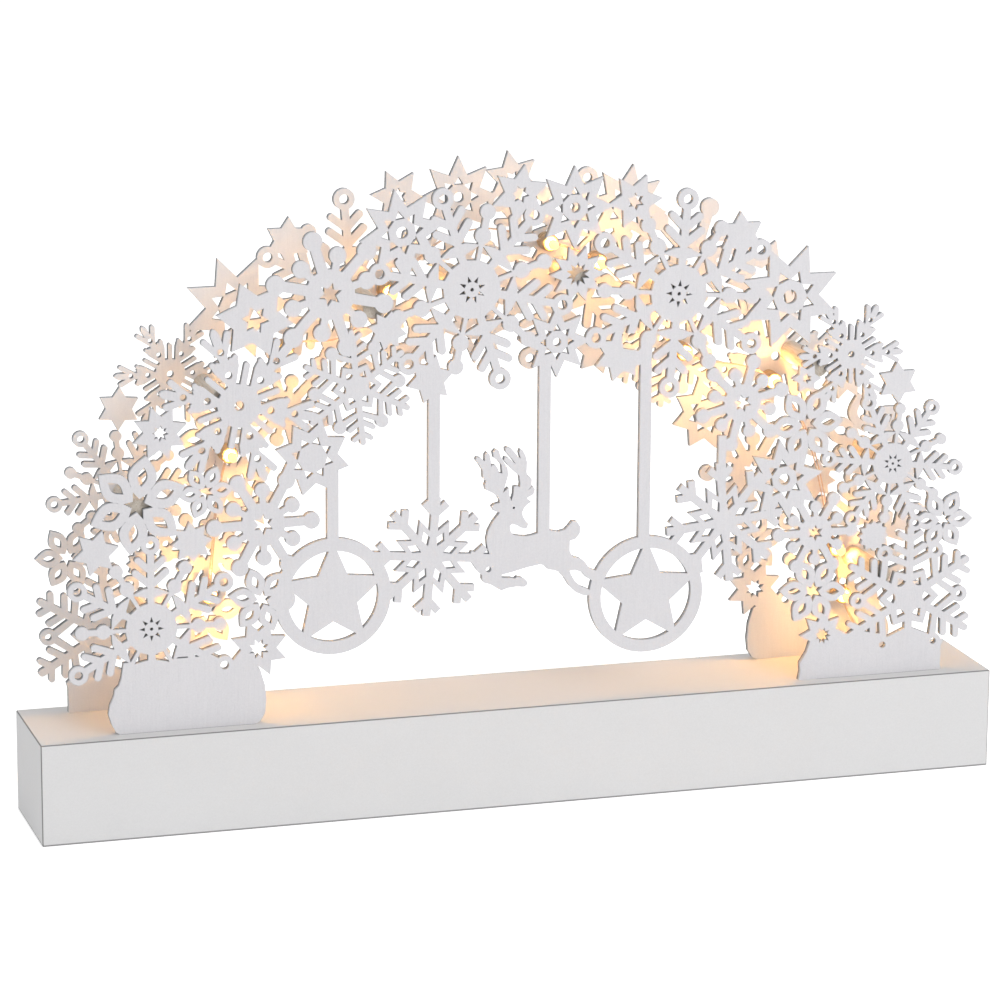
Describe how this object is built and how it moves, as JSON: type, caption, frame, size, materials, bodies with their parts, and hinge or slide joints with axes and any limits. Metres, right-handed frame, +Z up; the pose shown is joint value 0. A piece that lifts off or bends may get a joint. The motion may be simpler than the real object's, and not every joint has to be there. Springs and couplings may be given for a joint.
{
  "type": "candle arch",
  "caption": "Free-standing wooden candle arch: fretwork snowflake panels before and behind warm lights, a hanging reindeer garland, and a hollow base with battery box.",
  "frame": {"origin": "middle of the footprint on the surface the arch stands on", "axes": "+X along the arch to the right seen from the front, +Z up, front towards -Y"},
  "size_m": [0.45, 0.058, 0.2936],
  "materials": {
    "front_ply": "light grey painted plywood, faint speckle",
    "back_ply": "light grey painted plywood lit warm",
    "base_ply": "light grey painted plywood, faint grain",
    "rod_wood": "plain turned wood",
    "bulb": "clear warm lamp",
    "cord": "copper coloured twin wire",
    "box_plastic": "black moulded plastic",
    "knob_plastic": "light grey plastic",
    "circuit_board": "green circuit board",
    "contact_metal": "nickel plated sheet",
    "screw_metal": "zinc plated steel",
    "cell_label": "plain unprinted sleeve"
  },
  "bodies": {
    "arch": {"front_panel": "front_ply", "back_panel": "back_ply", "top_board": "base_ply", "front_board": "base_ply", "rear_board": "base_ply", "left_end_board": "base_ply", "right_end_board": "base_ply", "spacer_rod_1": "rod_wood", "spacer_rod_2": "rod_wood", "spacer_rod_3": "rod_wood", "spacer_rod_4": "rod_wood", "spacer_rod_5": "rod_wood", "spacer_rod_6": "rod_wood", "spacer_rod_7": "rod_wood", "spacer_rod_8": "rod_wood", "spacer_rod_9": "rod_wood", "spacer_rod_10": "rod_wood", "led_bulb_1": "bulb", "led_bulb_2": "bulb", "led_bulb_3": "bulb", "led_bulb_4": "bulb", "led_bulb_5": "bulb", "led_bulb_6": "bulb", "led_bulb_7": "bulb", "led_bulb_8": "bulb", "led_bulb_9": "bulb", "led_bulb_10": "bulb", "led_string": "cord", "battery_box": "box_plastic", "timer_board": "circuit_board", "contact_plates": "contact_metal", "contact_springs": "contact_metal", "box_screws": "screw_metal", "cell_1": "cell_label", "cell_2": "cell_label", "cell_3": "cell_label"},
    "lid": {"battery_lid": "box_plastic"},
    "knob": {"switch_knob": "knob_plastic"}
  },
  "joints": [
    {"name": "lid_slide", "type": "slide", "parent": "arch", "child": "lid", "axis": [-1, 0, 0], "range_m": [0, 0.028]},
    {"name": "switch_slide", "type": "slide", "parent": "arch", "child": "knob", "axis": [0, 1, 0], "range_m": [-0.002, 0.002]}
  ]
}
